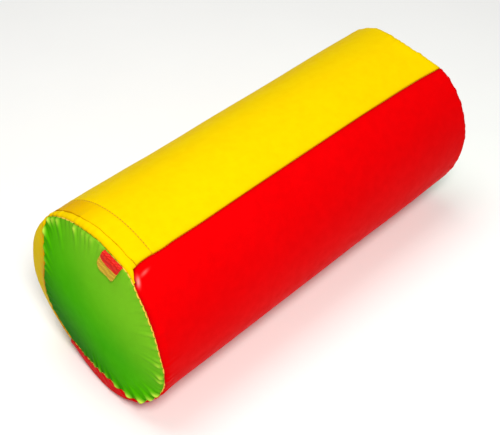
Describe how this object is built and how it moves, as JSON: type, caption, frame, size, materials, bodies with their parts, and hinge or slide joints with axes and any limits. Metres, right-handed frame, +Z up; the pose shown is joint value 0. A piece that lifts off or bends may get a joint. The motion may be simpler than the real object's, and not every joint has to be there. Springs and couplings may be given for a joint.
{
  "type": "baby crawling roller",
  "caption": "Soft foam cylinder that a crawling baby pushes along, in a sewn vinyl cover of coloured panels with domed ends, gathered rim seams and a lapped zip.",
  "frame": {"origin": "on the floor, below the middle of the roller", "axes": "+X along the roller's axis away from the end with the label and the zip, +Z up"},
  "size_m": [0.464, 0.2, 0.199],
  "materials": {
    "foam": "matte",
    "yellow_vinyl": "satin",
    "red_vinyl": "satin",
    "green_vinyl": "satin",
    "pale_thread": "matte",
    "dark_thread": "matte",
    "label_cloth": "satin",
    "zip_tape": "matte",
    "zip_teeth": "satin",
    "nickel_zinc": "satin"
  },
  "bodies": {
    "roller": {"foam_core": "foam", "yellow_panel": "yellow_vinyl", "red_panel": "red_vinyl", "near_rim_strip": "yellow_vinyl", "near_end_disc": "green_vinyl", "far_end_disc": "green_vinyl", "near_rim_thread": "pale_thread", "far_rim_thread": "pale_thread", "front_seam_thread": "dark_thread", "back_seam_thread": "dark_thread", "flap_stitch_thread": "dark_thread", "strip_stitch_thread": "dark_thread", "flap_end_tack": "dark_thread", "label_tag": "label_cloth", "label_stitch_thread": "pale_thread", "zip_tape_near": "zip_tape", "zip_tape_far": "zip_tape", "zip_teeth_near": "zip_teeth", "zip_teeth_far": "zip_teeth", "zip_stop_near": "nickel_zinc", "zip_stop_far": "nickel_zinc", "zip_bottom_stop": "nickel_zinc"},
    "slider": {"zip_slider": "nickel_zinc"},
    "pull_tab": {"zip_pull_tab": "nickel_zinc"}
  },
  "joints": [
    {"name": "zip_travel", "type": "hinge", "parent": "roller", "child": "slider", "pos_m": [-0.2003, 0, 0.099], "axis": [1, 0, 0], "range_deg": [0, 157.74]},
    {"name": "tab_swing", "type": "hinge", "parent": "slider", "child": "pull_tab", "pos_m": [-0.2003, 0.06453, 0.02572], "axis": [1, 0, 0], "range_deg": [-189.4, 0]}
  ]
}
